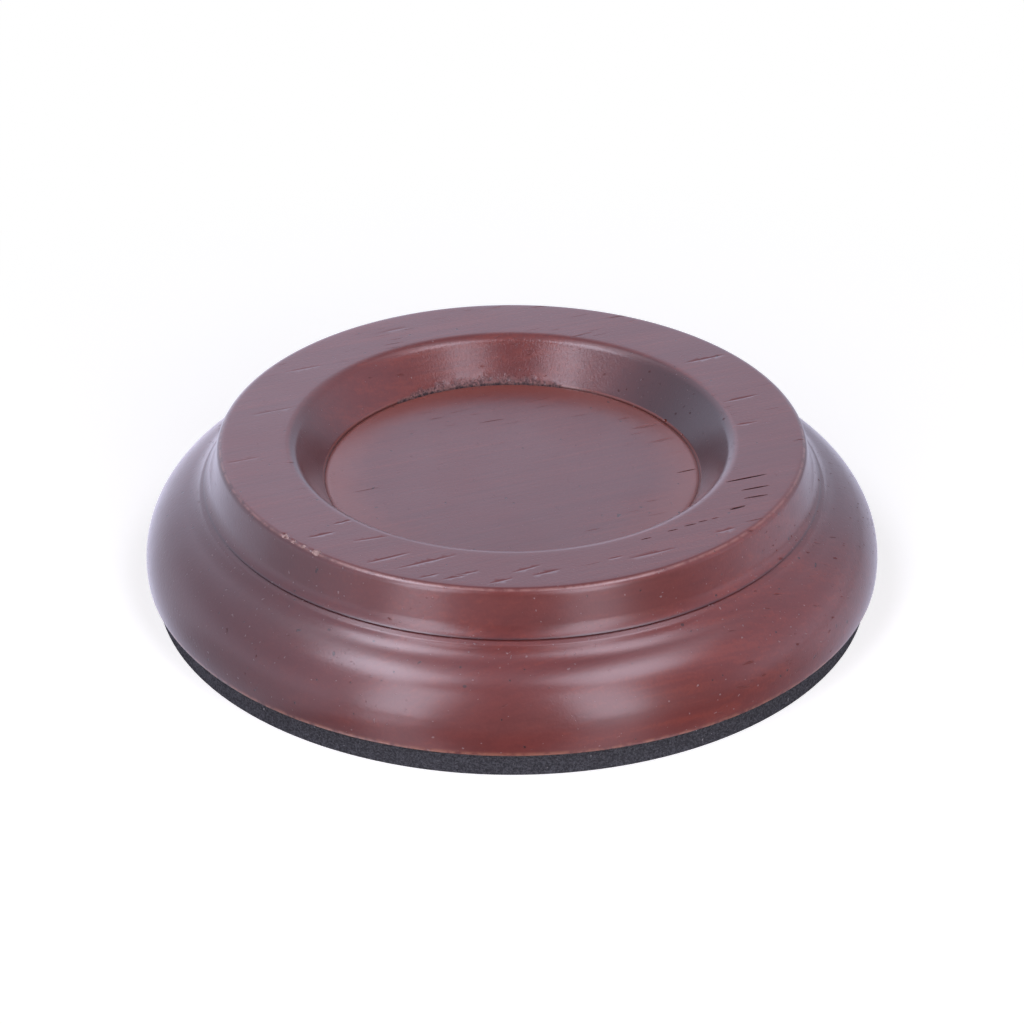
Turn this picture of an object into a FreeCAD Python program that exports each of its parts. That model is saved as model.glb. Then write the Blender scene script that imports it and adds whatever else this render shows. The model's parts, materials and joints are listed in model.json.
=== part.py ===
import FreeCAD, Part
import enum
import math
import os
import Sketcher

# A castor cup: a turned hardwood cup that a furniture castor stands in, on a glued disc of foam.
# Sizes are in millimetres and degrees. The floor is at Z = 0 and the turning axis is Z.
# The cup is sized from the seat outwards and from the foam upwards, so that each size can change alone.

SIZES = (
    ("foam_thickness", 3.8, "thickness of the foam disc"),
    ("foam_setback", 1.4, "how far the foam's edge lies inside the bead's fullest line"),
    ("seat_diameter", 56.2, "flat floor of the dish, where the wheel stands"),
    ("dish_depth", 6.1, "from the rim down to the floor of the dish"),
    ("wall_lean", 36.5, "lean of the dish's wall away from upright"),
    ("lip_round", 2.4, "round where the dish's wall meets the rim"),
    ("rim_land", 10.99, "width of the flat rim, before its edges are rounded"),
    ("rim_round", 1.2, "round on the rim's outer edge"),
    ("neck_height", 6.7, "from the rim down to the V line"),
    ("neck_taper", 15.0, "taper of the neck away from upright"),
    ("flare_spread", 0.8, "how far the foot of the neck flares out past its taper"),
    ("flare_radius", 3.5, "radius of that flare"),
    ("line_depth", 0.55, "depth of the V line cut at the foot of the neck"),
    ("line_angle", 60.0, "angle of the tool that cuts the V line"),
    ("bead_projection", 8.8, "how far the bead stands out past the V line"),
    ("bead_radius", 10.3, "radius of the bead's bulge"),
    ("bead_rise", 1.8, "height of the bead's fullest line above the underside"),
    ("cove_drop", 1.4, "from the V line down to the level of the bulge's crown"),
    ("cove_radius", 5.3, "radius of the hollow between the V line and the bulge"),
    ("foot_bevel", 0.4, "height of the bevel on the edge of the underside"),
    ("foot_slope", 45.0, "slope of that bevel"),
    ("tool_clearance", 1.0, "how far the V tool's section stands clear of the wood"),
)

DERIVED = (
    ("mouth_radius", "seat_diameter / 2 + dish_depth * tan(wall_lean)"),
    ("rim_radius", "mouth_radius + rim_land"),
    ("line_radius", "rim_radius + neck_height * tan(neck_taper) + flare_spread"),
    ("outside_radius", "line_radius + bead_projection"),
    ("bead_centre", "outside_radius - bead_radius"),
    ("line_height", "bead_rise + bead_radius + cove_drop"),
    ("wood_height", "line_height + neck_height"),
    ("foam_radius", "outside_radius - foam_setback"),
)

doc = FreeCAD.newDocument("castor_cup")


def make_sheet():
    """Writes the driving sizes as plain numbers, and the sizes that follow from them as formulas."""
    sheet = doc.addObject("Spreadsheet::Sheet", "sizes")
    for row, (alias, value, meaning) in enumerate(SIZES, start=1):
        sheet.set(f"A{row}", alias)
        sheet.set(f"B{row}", str(value))
        sheet.set(f"C{row}", meaning)
        sheet.setAlias(f"B{row}", alias)
    for row, (alias, formula) in enumerate(DERIVED, start=len(SIZES) + 1):
        sheet.set(f"A{row}", alias)
        sheet.set(f"B{row}", f"={formula}")
        sheet.setAlias(f"B{row}", alias)
    doc.recompute()
    return sheet


sheet = make_sheet()


def size(alias):
    """Reads one size from the sheet."""
    return float(sheet.get(alias))


def point(radius, height):
    """A point of a section, as its distance from the axis and its height."""
    return FreeCAD.Vector(radius, height, 0)


def make_body(label):
    body = doc.addObject("PartDesign::Body", label)
    body.Label = label
    return body


def make_sketch(body, name, role):
    """Starts a sketch on one of the body's own origin planes."""
    plane = next(item for item in body.Origin.OriginFeatures if item.Role == role)
    sketch = body.newObject("Sketcher::SketchObject", name)
    sketch.AttachmentSupport = (plane, "")
    sketch.MapMode = "FlatFace"
    return sketch


class Spot(enum.IntEnum):
    """The points of a line or an arc, as a sketch counts them."""
    START = 1
    END = 2
    CENTRE = 3


class Axis(enum.IntEnum):
    """The two axes of a sketch, as it counts them."""
    LEVEL = -1
    UPRIGHT = -2


ORIGIN = (Axis.LEVEL, Spot.START)
EDGE_TOLERANCE = 1e-4


def add_line(sketch, first, last):
    return sketch.addGeometry(Part.LineSegment(first, last), False)


def add_arc(sketch, centre, first, last):
    """Adds an arc that runs counter-clockwise about its centre from the first point to the last."""
    circle = Part.Circle(centre, FreeCAD.Vector(0, 0, 1), (first - centre).Length)
    arc = Part.ArcOfCircle(circle, circle.parameter(first), circle.parameter(last))
    return sketch.addGeometry(arc, False)


def join(sketch, first, last):
    """Makes two points coincide."""
    sketch.addConstraint(Sketcher.Constraint("Coincident", *first, *last))


def close_loop(sketch, sides):
    """Joins each side's end to the start of the next side, all the way round."""
    for side, following in zip(sides, sides[1:] + sides[:1]):
        join(sketch, (side, Spot.END), (following, Spot.START))


def drive(sketch, name, formula, kind, *where):
    """Adds a dimension with a name of its own and ties it to the sheet."""
    alias_value = sketch.evalExpression(formula)
    value = float(getattr(alias_value, "Value", alias_value))
    if kind == "Angle":
        value = math.radians(value)
    index = sketch.addConstraint(Sketcher.Constraint(kind, *where, value))
    sketch.renameConstraint(index, name)
    sketch.setExpression(f"Constraints.{name}", formula)


def place(sketch, name, where, radius_formula, height_formula):
    """Fixes a point at a distance from the axis and at a height."""
    drive(sketch, f"{name}_radius", radius_formula, "DistanceX", *ORIGIN, *where)
    drive(sketch, f"{name}_height", height_formula, "DistanceY", *ORIGIN, *where)


def bulge_and_cove():
    """Finds the centres of the bulge and of the cove from it to the V line, and where the two touch."""
    bulge = point(size("bead_centre"), size("bead_rise"))
    line = point(size("line_radius"), size("line_height"))
    cove_radius = size("cove_radius")
    reach = size("bead_radius") + cove_radius
    span = line - bulge
    along = (span.Length ** 2 + reach ** 2 - cove_radius ** 2) / (2 * span.Length)
    aside = math.sqrt(reach ** 2 - along ** 2)
    forward = span / span.Length
    outward = point(forward.y, -forward.x)
    cove = bulge + forward * along + outward * aside
    touch = bulge + (cove - bulge) * (size("bead_radius") / reach)
    return bulge, cove, touch


def flare_of_neck():
    """Finds the centre of the flare that ends at the V line and touches the neck, and where it touches."""
    taper = math.radians(size("neck_taper"))
    outward = point(math.cos(taper), math.sin(taper))
    upward = point(-math.sin(taper), math.cos(taper))
    line = point(size("line_radius"), size("line_height"))
    radius = size("flare_radius")
    rim = point(size("rim_radius"), size("wood_height"))
    gap = (line - rim).dot(outward)
    foot = line - outward * gap
    touch = foot + upward * math.sqrt(radius ** 2 - (radius - gap) ** 2)
    return touch + outward * radius, touch


def foot_of_bulge():
    """Finds where the bevel under the bulge starts on the underside, and where it ends on the bulge."""
    rise = size("foot_bevel")
    reach = math.sqrt(size("bead_radius") ** 2 - (size("bead_rise") - rise) ** 2)
    end = point(size("bead_centre") + reach, rise)
    return point(end.x - rise / math.tan(math.radians(size("foot_slope"))), 0), end


def draw_blank(body):
    """Draws the outside section of the cup: underside, bevel, bulge, cove, flare, neck and rim."""
    sketch = make_sketch(body, "blank_section", "XZ_Plane")
    bulge_centre, cove_centre, bulge_end = bulge_and_cove()
    flare_centre, flare_end = flare_of_neck()
    bevel_start, bevel_end = foot_of_bulge()
    axis_foot = point(0, 0)
    axis_top = point(0, size("wood_height"))
    line = point(size("line_radius"), size("line_height"))
    rim = point(size("rim_radius"), size("wood_height"))

    underside = add_line(sketch, axis_foot, bevel_start)
    bevel = add_line(sketch, bevel_start, bevel_end)
    bulge = add_arc(sketch, bulge_centre, bevel_end, bulge_end)
    cove = add_arc(sketch, cove_centre, line, bulge_end)
    flare = add_arc(sketch, flare_centre, flare_end, line)
    neck = add_line(sketch, flare_end, rim)
    top = add_line(sketch, rim, axis_top)
    axis = add_line(sketch, axis_top, axis_foot)

    join(sketch, (underside, Spot.START), ORIGIN)
    join(sketch, (underside, Spot.END), (bevel, Spot.START))
    join(sketch, (bevel, Spot.END), (bulge, Spot.START))
    join(sketch, (cove, Spot.START), (flare, Spot.END))
    join(sketch, (neck, Spot.END), (top, Spot.START))
    join(sketch, (top, Spot.END), (axis, Spot.START))
    join(sketch, (axis, Spot.END), (underside, Spot.START))
    sketch.addConstraint(Sketcher.Constraint("Tangent", bulge, Spot.END, cove, Spot.END))
    sketch.addConstraint(Sketcher.Constraint("Tangent", flare, Spot.START, neck, Spot.START))
    sketch.addConstraint(Sketcher.Constraint("Horizontal", underside))
    sketch.addConstraint(Sketcher.Constraint("Horizontal", top))
    sketch.addConstraint(Sketcher.Constraint("Vertical", axis))

    drive(sketch, "bevel_height", "sizes.foot_bevel", "DistanceY", *ORIGIN, bevel, Spot.END)
    drive(sketch, "bevel_slope", "sizes.foot_slope", "Angle", bevel)
    place(sketch, "bulge_centre", (bulge, Spot.CENTRE), "sizes.bead_centre", "sizes.bead_rise")
    drive(sketch, "bulge_round", "sizes.bead_radius", "Radius", bulge)
    drive(sketch, "cove_round", "sizes.cove_radius", "Radius", cove)
    place(sketch, "line", (cove, Spot.START), "sizes.line_radius", "sizes.line_height")
    drive(sketch, "flare_round", "sizes.flare_radius", "Radius", flare)
    drive(sketch, "neck_slope", "90 + sizes.neck_taper", "Angle", neck)
    place(sketch, "rim", (neck, Spot.END), "sizes.rim_radius", "sizes.wood_height")
    return sketch


def draw_dish(body):
    """Draws the section of the dish: its flat seat and its leaning wall."""
    sketch = make_sketch(body, "dish_section", "XZ_Plane")
    seat_height = size("wood_height") - size("dish_depth")
    corners = (
        point(0, seat_height),
        point(size("seat_diameter") / 2, seat_height),
        point(size("mouth_radius"), size("wood_height")),
        point(0, size("wood_height")),
    )
    sides = [add_line(sketch, corners[i], corners[(i + 1) % len(corners)]) for i in range(len(corners))]
    close_loop(sketch, sides)
    seat, wall, mouth, axis = sides
    sketch.addConstraint(Sketcher.Constraint("Horizontal", seat))
    sketch.addConstraint(Sketcher.Constraint("Horizontal", mouth))
    sketch.addConstraint(Sketcher.Constraint("PointOnObject", axis, Spot.START, Axis.UPRIGHT))
    sketch.addConstraint(Sketcher.Constraint("Vertical", axis))
    seat_formula = "sizes.wood_height - sizes.dish_depth"
    place(sketch, "seat", (seat, Spot.END), "sizes.seat_diameter / 2", seat_formula)
    place(sketch, "mouth", (wall, Spot.END), "sizes.mouth_radius", "sizes.wood_height")
    return sketch


def draw_line(body):
    """Draws the V tool's section, pointing at the axis from just outside the wood."""
    sketch = make_sketch(body, "v_line_section", "XZ_Plane")
    tip = point(size("line_radius") - size("line_depth"), size("line_height"))
    back = size("line_radius") + size("tool_clearance")
    half_width = (back - tip.x) * math.tan(math.radians(size("line_angle") / 2))
    lower = point(back, tip.y - half_width)
    upper = point(back, tip.y + half_width)
    under = add_line(sketch, tip, lower)
    behind = add_line(sketch, lower, upper)
    over = add_line(sketch, upper, tip)
    close_loop(sketch, [under, behind, over])
    sketch.addConstraint(Sketcher.Constraint("Vertical", behind))
    sketch.addConstraint(Sketcher.Constraint("Equal", under, over))
    place(sketch, "tip", (under, Spot.START), "sizes.line_radius - sizes.line_depth", "sizes.line_height")
    back_formula = "sizes.line_radius + sizes.tool_clearance"
    drive(sketch, "back", back_formula, "DistanceX", *ORIGIN, behind, Spot.START)
    drive(sketch, "tool_angle", "sizes.line_angle", "Angle", under, Spot.START, over, Spot.END)
    return sketch


def turn(body, kind, name, sketch):
    """Turns a section about the upright axis, to add wood or to cut it away."""
    feature = body.newObject(f"PartDesign::{kind}", name)
    feature.Profile = sketch
    feature.ReferenceAxis = (sketch, ["V_Axis"])
    feature.Angle = 360
    doc.recompute()
    return feature


def cut(body, name, sketch):
    """Cuts a turned groove and makes sure that it took wood away."""
    before = body.Shape.Volume
    feature = turn(body, "Groove", name, sketch)
    removed = before - feature.Shape.Volume
    if removed <= 0:
        raise RuntimeError(f"{name} cut nothing")
    print(f"{name} removes {removed:.1f} mm3")
    return feature


def round_edge(body, name, base, radius, height, size_name):
    """Rounds the circular edge of that radius at that height above the underside."""
    edge_name = None
    for number, edge in enumerate(base.Shape.Edges, start=1):
        curve = edge.Curve
        if not isinstance(curve, Part.Circle):
            continue
        miss = max(abs(curve.Radius - radius), abs(curve.Center.z - height))
        if miss < EDGE_TOLERANCE:
            edge_name = f"Edge{number}"
    if edge_name is None:
        raise RuntimeError(f"{name} finds no edge of radius {radius:.3f} at {height:.3f}")
    feature = body.newObject("PartDesign::Fillet", name)
    feature.Base = (base, [edge_name])
    feature.setExpression("Radius", f"sizes.{size_name}")
    doc.recompute()
    return feature


def make_turned_cup():
    """Turns the wooden cup: the blank, the dish, the V line and the rounded edges."""
    body = make_body("turned_cup")
    body.setExpression("Placement.Base.z", "sizes.foam_thickness")
    blank = turn(body, "Revolution", "blank", draw_blank(body))
    print(f"blank holds {blank.Shape.Volume:.1f} mm3")
    cut(body, "dish", draw_dish(body))
    line = cut(body, "v_line", draw_line(body))
    rim = round_edge(body, "rim_edge", line, size("rim_radius"), size("wood_height"), "rim_round")
    round_edge(body, "dish_lip", rim, size("mouth_radius"), size("wood_height"), "lip_round")
    return body


def make_foam_pad():
    """Cuts the foam disc that is stuck flat under the cup."""
    body = make_body("foam_pad")
    sketch = make_sketch(body, "disc_outline", "XY_Plane")
    circle = Part.Circle(point(0, 0), FreeCAD.Vector(0, 0, 1), size("foam_radius"))
    outline = sketch.addGeometry(circle, False)
    join(sketch, (outline, Spot.CENTRE), ORIGIN)
    drive(sketch, "edge", "sizes.foam_radius", "Radius", outline)
    pad = body.newObject("PartDesign::Pad", "disc")
    pad.Profile = sketch
    pad.setExpression("Length", "sizes.foam_thickness")
    doc.recompute()
    return body


def check_document(bodies):
    """Stops if any object failed, any sketch is loose or any sub-part is not one sound solid."""
    for item in doc.Objects:
        if "Invalid" in item.State or "Error" in item.State:
            raise RuntimeError(f"{item.Name} is {item.State}")
        if item.isDerivedFrom("Sketcher::SketchObject") and item.solve() != 0:
            raise RuntimeError(f"{item.Name} does not solve")
        if item.isDerivedFrom("Sketcher::SketchObject") and not item.FullyConstrained:
            raise RuntimeError(f"{item.Name} is not fully constrained")
    for body in bodies:
        shape = body.Shape
        if shape.isNull() or not shape.isValid() or len(shape.Solids) != 1:
            raise RuntimeError(f"{body.Label} is not one sound solid")


sub_parts = [make_turned_cup(), make_foam_pad()]
doc.recompute()
check_document(sub_parts)

os.makedirs("parts", exist_ok=True)
for body in sub_parts:
    box = body.Shape.optimalBoundingBox()
    body.Shape.exportStep(f"parts/{body.Label}.step")
    print(f"{body.Label}: {body.Shape.Volume:.1f} mm3, {box.XLength:.2f} x {box.YLength:.2f} across, "
          f"from Z {box.ZMin:.2f} to {box.ZMax:.2f}")
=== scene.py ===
# %% [markdown]
# # A castor cup of turned wood
# A castor cup stands on the floor under a furniture wheel. It is one small turning of stained
# wood: a dish on top holds the wheel, the outside steps out through a hollow to a round bead,
# and a disc of black foam is stuck underneath so that the cup grips the floor.
# The part's solids are loaded first, as a fixed frame. They could be shown as they are, but two
# dressed pieces take their places here, because wood and foam need small marks of making and use.

# %% Load the frame
import json
import math

import bpy
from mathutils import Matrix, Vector

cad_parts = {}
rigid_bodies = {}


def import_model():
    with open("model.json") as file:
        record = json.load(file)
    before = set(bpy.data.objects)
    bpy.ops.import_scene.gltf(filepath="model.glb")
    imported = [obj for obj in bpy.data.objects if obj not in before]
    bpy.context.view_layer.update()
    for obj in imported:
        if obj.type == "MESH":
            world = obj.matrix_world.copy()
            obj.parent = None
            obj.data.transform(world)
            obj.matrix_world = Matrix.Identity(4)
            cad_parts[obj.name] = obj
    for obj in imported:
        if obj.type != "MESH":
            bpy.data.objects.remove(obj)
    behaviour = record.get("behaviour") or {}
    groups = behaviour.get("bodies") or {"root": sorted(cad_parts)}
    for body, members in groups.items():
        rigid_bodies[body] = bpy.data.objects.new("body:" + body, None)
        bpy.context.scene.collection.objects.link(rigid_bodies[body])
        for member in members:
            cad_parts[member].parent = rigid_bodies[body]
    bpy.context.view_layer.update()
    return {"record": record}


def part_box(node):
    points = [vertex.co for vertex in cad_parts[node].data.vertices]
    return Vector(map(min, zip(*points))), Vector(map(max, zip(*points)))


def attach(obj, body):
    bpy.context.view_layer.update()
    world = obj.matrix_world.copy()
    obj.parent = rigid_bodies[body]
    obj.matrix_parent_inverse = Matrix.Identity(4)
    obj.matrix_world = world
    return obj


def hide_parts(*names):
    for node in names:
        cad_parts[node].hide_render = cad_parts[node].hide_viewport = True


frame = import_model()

wood_low, wood_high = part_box("turned_cup")
foam_low, foam_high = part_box("foam_pad")
print("wood from", tuple(wood_low), "to", tuple(wood_high))
print("foam from", tuple(foam_low), "to", tuple(foam_high))

# %% [markdown]
# ## The section that the lathe follows
# On the real cup one section runs all the way round, so it is drawn once and spun. It could be
# pushed and pulled from a cylinder, but a drawn section keeps the arcs true: the cove and the
# bead touch without a corner, and the light then slides over them as it does on a lathe-turned
# bead. The outside and the heights come from the frame, and the rest are the turner's own sizes.

# %% Sizes of the turning
MM = 0.001
OUTSIDE = min(wood_high.x, wood_high.y, -wood_low.x, -wood_low.y)
TOP = wood_high.z
UNDERSIDE = wood_low.z
mounts = {mount["name"]: mount for mount in frame["record"]["mounts"]}
SEAT = mounts["castor_seat"]["pos_m"][2]

SEAT_RADIUS = 28.1 * MM
WALL_LEAN = math.radians(36.5)
LIP_ROUND = 2.4 * MM
RIM_ROUND = 1.2 * MM
NECK_HEIGHT = 6.7 * MM
NECK_TAPER = math.radians(15.0)
FLARE_SPREAD = 0.8 * MM
FLARE_RADIUS = 3.5 * MM
LINE_DEPTH = 0.55 * MM
BEAD_PROJECTION = 8.8 * MM
BEAD_RADIUS = 10.3 * MM
BEAD_RISE = 1.8 * MM
COVE_RADIUS = 5.3 * MM
FOOT_BEVEL = 0.4 * MM

LINE_HEIGHT = TOP - NECK_HEIGHT
LINE_RADIUS = OUTSIDE - BEAD_PROJECTION
RIM_RADIUS = LINE_RADIUS - FLARE_SPREAD - NECK_HEIGHT * math.tan(NECK_TAPER)
MOUTH_RADIUS = SEAT_RADIUS + (TOP - SEAT) * math.tan(WALL_LEAN)
print("rim radius", round(RIM_RADIUS / MM, 2), "mouth radius", round(MOUTH_RADIUS / MM, 2))

# %% Lines and arcs of a section


def run(first, last, steps):
    """Points along a straight line, both ends included."""
    return [
        tuple(a + (b - a) * i / steps for a, b in zip(first, last)) for i in range(steps + 1)
    ]


def arc(centre, radius, first, last, steps):
    """Points along an arc between two angles in radians, both ends included."""
    angles = [first + (last - first) * i / steps for i in range(steps + 1)]
    return [(centre[0] + radius * math.cos(a), centre[1] + radius * math.sin(a)) for a in angles]


def angle_to(centre, point):
    """Angle at which a centre sees a point, from 0 to a full turn."""
    return math.atan2(point[1] - centre[1], point[0] - centre[0]) % math.tau


# %% The dish and the rim
CORNER_NICK = 0.26 * MM
NICK_START = SEAT_RADIUS - 0.80 * MM
NICK_WIDTH = 0.68 * MM
NICK_STEPS = (0.25, 0.5, 0.75, 0.95, 1.0)
lip_centre = (MOUTH_RADIUS + LIP_ROUND * math.tan(math.pi / 4 - WALL_LEAN / 2), TOP - LIP_ROUND)
rim_centre = (RIM_RADIUS - RIM_ROUND * math.tan(math.pi / 4 - NECK_TAPER / 2), TOP - RIM_ROUND)

dish_floor = run((0.0, SEAT), (SEAT_RADIUS - 2.0 * MM, SEAT), 9)
dish_floor += run((SEAT_RADIUS - 1.4 * MM, SEAT), (NICK_START, SEAT), 2)
corner = [(NICK_START + NICK_WIDTH * t, SEAT - CORNER_NICK * t ** 2) for t in NICK_STEPS]
corner += run((SEAT_RADIUS - 0.06 * MM, SEAT - CORNER_NICK), (SEAT_RADIUS, SEAT + 0.05 * MM), 2)
lip = arc(lip_centre, LIP_ROUND, math.pi - WALL_LEAN, math.pi / 2, 12)
wall = run(corner[-1], lip[0], 16)
rim_edge = arc(rim_centre, RIM_ROUND, math.pi / 2, NECK_TAPER, 9)
land = run(lip[-1], rim_edge[0], 12)
dish_section = dish_floor + corner + wall[1:-1] + lip + land[1:-1] + rim_edge
print("dish and rim:", len(dish_section), "points")

# %% The neck, the turned line, the cove and the bead
line_point = (LINE_RADIUS, LINE_HEIGHT)
flare_turn = math.acos(1 - FLARE_SPREAD * math.cos(NECK_TAPER) / FLARE_RADIUS)
flare_low = math.pi + NECK_TAPER + flare_turn
flare_centre = (
    LINE_RADIUS - FLARE_RADIUS * math.cos(flare_low),
    LINE_HEIGHT - FLARE_RADIUS * math.sin(flare_low),
)
bead_centre = (OUTSIDE - BEAD_RADIUS, UNDERSIDE + BEAD_RISE)

# The cove's centre is its own radius from the turned line, and both radii from the bead's centre.
reach = math.dist(bead_centre, line_point)
both = BEAD_RADIUS + COVE_RADIUS
along = (both ** 2 - COVE_RADIUS ** 2 + reach ** 2) / (2 * reach)
aside = math.sqrt(both ** 2 - along ** 2)
ahead = tuple((b - a) / reach for a, b in zip(bead_centre, line_point))
cove_centre = (
    bead_centre[0] + along * ahead[0] + aside * ahead[1],
    bead_centre[1] + along * ahead[1] - aside * ahead[0],
)
bead_top = angle_to(bead_centre, cove_centre)
print("cove and bead touch at", round(math.degrees(bead_top), 1), "degrees")

# %% The outside of the section
LINE_LIP = 0.24 * MM
COVE_LIP = 0.63 * MM
FOOT_EASE = 0.06 * MM
FOOT_EDGE = 0.28 * MM
flare_end = flare_low - LINE_LIP / FLARE_RADIUS
flare = arc(flare_centre, FLARE_RADIUS, math.pi + NECK_TAPER, flare_end, 8)
cove_start = angle_to(cove_centre, line_point) + COVE_LIP / COVE_RADIUS
cove = arc(cove_centre, COVE_RADIUS, cove_start, bead_top + math.pi, 10)
bead_foot = math.asin((FOOT_BEVEL - BEAD_RISE) / BEAD_RADIUS)
bead = arc(bead_centre, BEAD_RADIUS, bead_top, bead_foot, 30)
neck = run(rim_edge[-1], flare[0], 7)
line_tip = (LINE_RADIUS - LINE_DEPTH, LINE_HEIGHT)
line = run(flare[-1], line_tip, 4)[1:] + run(line_tip, cove[0], 7)[1:-1]
bead_end = bead[-1][0]
foot = [(bead_end - FOOT_EASE, UNDERSIDE + FOOT_EDGE), (bead_end - FOOT_BEVEL, UNDERSIDE)]
underside = run((bead_end - 2.0 * MM, UNDERSIDE), (0.0, UNDERSIDE), 8)
outer_section = neck[1:-1] + flare + line + cove[:-1] + bead + foot + underside
wood_section = dish_section + outer_section
print("whole section:", len(wood_section), "points")

# %% [markdown]
# ## Spinning a section
# A section becomes a turning with the spin operator, as a lathe would make it. A screw modifier
# would do the same, but the spin leaves plain vertices that can be chipped and torn afterwards.
# The last ring lies on the first, so the doubles are merged before the normals are recalculated.

# %% Draw a section and spin it
WOOD_STEPS = 400
FOAM_STEPS = 480


def clear_selection():
    """Leave edit mode with nothing selected, so that the next operator acts on its own piece."""
    if bpy.context.object and bpy.context.object.mode != "OBJECT":
        bpy.ops.object.mode_set(mode="OBJECT")
    bpy.ops.object.select_all(action="DESELECT")


def spin_section(name, section, steps):
    """Draw a section point by point in the XZ plane and spin it round the upright axis."""
    clear_selection()
    first = section[0]
    bpy.ops.mesh.primitive_plane_add(size=MM, location=(0.0, 0.0, 0.0))
    piece = bpy.context.object
    piece.name = piece.data.name = name
    bpy.ops.object.mode_set(mode="EDIT")
    bpy.ops.mesh.select_mode(type="VERT")
    bpy.ops.mesh.select_all(action="SELECT")
    bpy.ops.mesh.merge(type="CENTER")
    bpy.ops.transform.translate(value=(first[0], 0.0, first[1]))
    for here, there in zip(section, section[1:]):
        step = (there[0] - here[0], 0.0, there[1] - here[1])
        bpy.ops.mesh.extrude_vertices_move(TRANSFORM_OT_translate={"value": step})
    bpy.ops.mesh.select_all(action="SELECT")
    bpy.ops.mesh.spin(steps=steps, angle=math.tau, center=(0.0, 0.0, 0.0), axis=(0.0, 0.0, 1.0))
    bpy.ops.mesh.select_all(action="SELECT")
    bpy.ops.mesh.remove_doubles(threshold=0.001 * MM)
    bpy.ops.mesh.normals_make_consistent(inside=False)
    bpy.ops.object.mode_set(mode="OBJECT")
    print(name, "spun to", len(piece.data.polygons), "faces")
    return piece


wood = spin_section("turned_wood", wood_section, WOOD_STEPS)

# %% [markdown]
# ## Pores, splits, torn grain and chips
# Open pores and short splits run along the grain on the rim and the dish floor. A scraper that met
# rising grain left a ragged band along the foot of the dish wall, on the far side, and handling
# took four crumbs from the rim's outer edge. All could be painted on, but they are real hollows
# that catch the light. So pores and splits are cut with a Boolean difference, and the faces of the
# tear and the crumbs are subdivided and pushed in. Attributes remember what was broken, so that the
# finish can paint shade into the splits, darker with depth, and show the bare wood.

# %% Pick faces by place


def pick_faces(piece, test):
    """Select the faces whose middle passes a test of radius, turn in degrees, and height."""
    clear_selection()
    bpy.context.view_layer.objects.active = piece
    piece.select_set(True)
    bpy.ops.object.mode_set(mode="EDIT")
    bpy.ops.mesh.select_mode(type="FACE")
    bpy.ops.mesh.select_all(action="DESELECT")
    bpy.ops.object.mode_set(mode="OBJECT")
    picked = 0
    for face in piece.data.polygons:
        x, y, z = face.center
        face.select = test(math.hypot(x, y), math.degrees(math.atan2(y, x)) % 360.0, z)
        picked += face.select
    bpy.ops.object.mode_set(mode="EDIT")
    return picked


def mark_selected(piece, attribute, amount):
    """Leave edit mode and write an amount on the vertices that are still selected."""
    bpy.ops.object.mode_set(mode="OBJECT")
    layer = piece.data.attributes.get(attribute)
    if layer is None:
        layer = piece.data.attributes.new(attribute, "FLOAT", "POINT")
    marked = [v for v in piece.data.vertices if v.select]
    for vertex in marked:
        layer.data[vertex.index].value = amount(vertex.co)
    return len(marked)


# %% Cut the open pores and splits
# Each cut: radius and turn of its middle, length, width and depth in mm, direction in degrees.
RIM_PORES = [
    (39.3, 230.4, 4.2, 0.46, 0.041, 28.0),
    (35.4, 240.3, 6.4, 0.37, 0.024, 20.0),
    (39.0, 247.3, 6.6, 0.52, 0.048, 29.0),
    (38.0, 255.2, 9.6, 0.48, 0.041, 27.9),
    (41.4, 257.6, 3.0, 0.40, 0.034, 27.7),
    (41.0, 262.3, 3.8, 0.42, 0.041, 24.0),
    (39.6, 264.6, 3.6, 0.39, 0.034, 25.1),
    (41.2, 271.4, 3.8, 0.40, 0.041, 27.5),
    (38.0, 276.6, 4.6, 0.40, 0.037, 30.0),
    (39.2, 280.7, 4.4, 0.44, 0.041, 27.5),
    (37.8, 296.2, 2.4, 0.39, 0.034, 28.0),
    (39.1, 304.1, 7.7, 0.42, 0.034, 27.4),
    (40.8, 321.5, 3.3, 0.42, 0.041, 30.0),
    (34.6, 229.9, 3.6, 0.40, 0.037, 29.0),
    (38.6, 43.3, 7.2, 0.46, 0.048, 27.5),
    (36.5, 22.5, 6.4, 0.44, 0.048, 28.0),
    (35.2, 10.1, 3.8, 0.39, 0.041, 22.0),
    (38.5, 150.0, 6.5, 0.37, 0.016, 26.0),
    (36.4, 171.0, 7.5, 0.39, 0.016, 26.0),
    (40.0, 194.0, 5.5, 0.37, 0.016, 26.0),
    (39.0, 122.0, 5.0, 0.37, 0.016, 26.0),
]
RIM_SPLITS = [
    (36.3, 343.6, 6.6, 0.34, 0.34, 25.0),
    (38.4, 340.2, 4.4, 0.32, 0.32, 23.5),
    (39.4, 336.8, 3.8, 0.30, 0.30, 22.0),
    (38.6, 330.7, 2.6, 0.40, 0.34, 30.0),
    (35.2, 306.3, 1.7, 0.20, 0.17, 27.0),
    (35.6, 313.5, 1.7, 0.20, 0.17, 27.0),
    (36.2, 318.1, 2.0, 0.23, 0.20, 27.0),
    (36.8, 321.3, 1.5, 0.20, 0.17, 27.0),
    (37.6, 324.1, 1.2, 0.18, 0.14, 27.0),
]
FLOOR_SPLITS = [(26.2, 4.6, 3.6, 0.24, 0.20, 27.0)]
FLOOR_PORES = [(25.2, 38.4, 5.4, 0.42, 0.035, 28.0), (24.8, 27.0, 4.5, 0.38, 0.03, 26.0)]
PORE_RAISED = 0.85
SPLIT_RAISED = 0.0


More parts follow.
